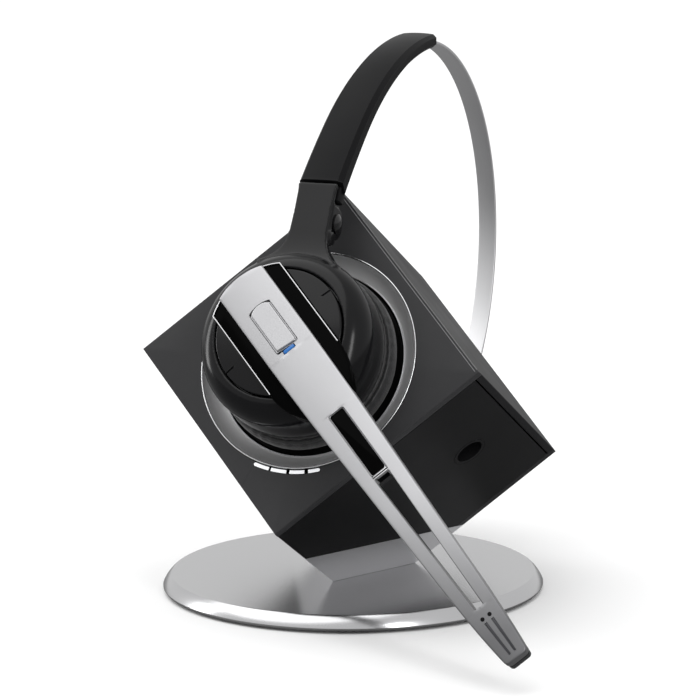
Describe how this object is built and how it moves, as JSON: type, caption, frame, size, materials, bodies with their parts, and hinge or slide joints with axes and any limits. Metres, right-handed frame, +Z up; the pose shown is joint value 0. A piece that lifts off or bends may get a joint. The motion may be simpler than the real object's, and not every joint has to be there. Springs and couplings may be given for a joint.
{
  "type": "office headset",
  "caption": "Cordless single-ear office headset docked on a tilted cube charging base with a round metal foot; boom, headband, pad and call button move.",
  "frame": {"origin": "centre of the foot pad, on the table", "axes": "+Z up, +X to the right seen from the front, front of the dock towards -Y"},
  "size_m": [0.1316, 0.1928, 0.1439],
  "materials": {
    "foot_rubber": "matt",
    "disc_metal": "satin",
    "ballast_steel": "dull zinc plated",
    "screw_steel": "plain",
    "wedge_metal": "satin",
    "panel_black": "fine satin",
    "cover_black": "fine satin",
    "lower_black": "satin",
    "inner_plastic": "plain",
    "board_green": "solder mask",
    "shield_tin": "tinned",
    "antenna_brass": "plated",
    "socket_black": "moulded",
    "socket_steel": "nickel plated",
    "dock_satin": "satin grey, dished",
    "trim_chrome": "bright",
    "dock_black": "black",
    "contact_gold": "gold plated",
    "magnet_nickel": "nickel plated",
    "led_white": "milky",
    "cushion_leather": "soft leatherette",
    "baffle_black": "plain",
    "driver_grey": "plain",
    "shell_black": "satin",
    "yoke_black": "satin, soft sheen",
    "pin_steel": "blackened",
    "bearing_brass": "turned",
    "battery_wrap": "shrink wrap",
    "channel_gloss": "piano black",
    "arm_silver": "satin silver",
    "arm_back_black": "satin",
    "mic_metal": "plain",
    "flex_amber": "polyimide",
    "led_blue": "clear blue",
    "strip_steel": "brushed along its length"
  },
  "bodies": {
    "base": {"foot_pad": "foot_rubber", "base_disc": "disc_metal", "ballast_plate": "ballast_steel", "pedestal_bolts": "screw_steel", "pedestal_wedge": "wedge_metal", "front_panel": "panel_black", "upper_cover": "cover_black", "lower_cover": "lower_black", "recess_cup": "lower_black", "rear_cover": "lower_black", "rear_screws": "screw_steel", "chassis_tray": "inner_plastic", "main_board": "board_green", "radio_module": "shield_tin", "antennas": "antenna_brass", "phone_socket": "socket_black", "handset_socket": "socket_black", "power_jack": "socket_black", "usb_socket": "socket_steel", "aux_jack": "socket_black", "dock_ring": "dock_satin", "dock_rim_trim": "trim_chrome", "dock_lip_trim": "trim_chrome", "dock_well": "dock_black", "dock_contacts": "contact_gold", "dock_magnets": "magnet_nickel", "led_light_guides": "led_white", "led_board": "board_green"},
    "earpiece": {"ear_cup_shell": "shell_black", "yoke": "yoke_black", "hinge_pin": "pin_steel", "ear_cushion": "cushion_leather", "speaker_baffle": "baffle_black", "contact_pads": "contact_gold", "speaker_driver": "driver_grey", "hub_bearing": "bearing_brass", "battery_cell": "battery_wrap", "headset_board": "board_green"},
    "boom": {"boom_arm": "arm_silver", "boom_back_cover": "arm_back_black", "channel_frame": "channel_gloss", "channel_trim": "trim_chrome", "hub_plates": "yoke_black", "hub_spindle": "pin_steel", "name_window": "channel_gloss", "window_trim": "trim_chrome", "status_led": "led_blue", "mic_capsules": "mic_metal", "boom_flex": "flex_amber"},
    "button": {"call_button": "arm_silver"},
    "headband": {"headband_sleeve": "yoke_black", "hinge_knuckle": "shell_black"},
    "strip": {"headband_strip": "strip_steel", "strip_clip": "pin_steel", "pad_pin": "pin_steel"},
    "pad": {"pad_holder": "shell_black", "temple_pad": "cushion_leather"}
  },
  "joints": [
    {"name": "headset_lift", "type": "slide", "parent": "base", "child": "earpiece", "axis": [0, 0, 1], "range_m": [0, 0.12]},
    {"name": "boom_swing", "type": "hinge", "parent": "earpiece", "child": "boom", "pos_m": [0, -0.0467, 0.077], "axis": [0, -0.8729, 0.4879], "range_deg": [0, 150]},
    {"name": "call_press", "type": "slide", "parent": "boom", "child": "button", "axis": [0, 0.8729, -0.4879], "range_m": [0, 0.0004], "stiffness_N_per_m": 400, "springref_m": -0.001},
    {"name": "headband_tilt", "type": "hinge", "parent": "earpiece", "child": "headband", "pos_m": [0, -0.02191, 0.10209], "axis": [1, 0, 0], "range_deg": [-8, 4]},
    {"name": "band_extend", "type": "hinge", "parent": "headband", "child": "strip", "pos_m": [0, 0.04976, 0.0518], "axis": [-1, 0, 0], "range_deg": [0, 7.5]},
    {"name": "pad_pivot", "type": "hinge", "parent": "strip", "child": "pad", "pos_m": [0, 0.06671, 0.03147], "axis": [1, 0, 0], "range_deg": [-12, 12]}
  ]
}
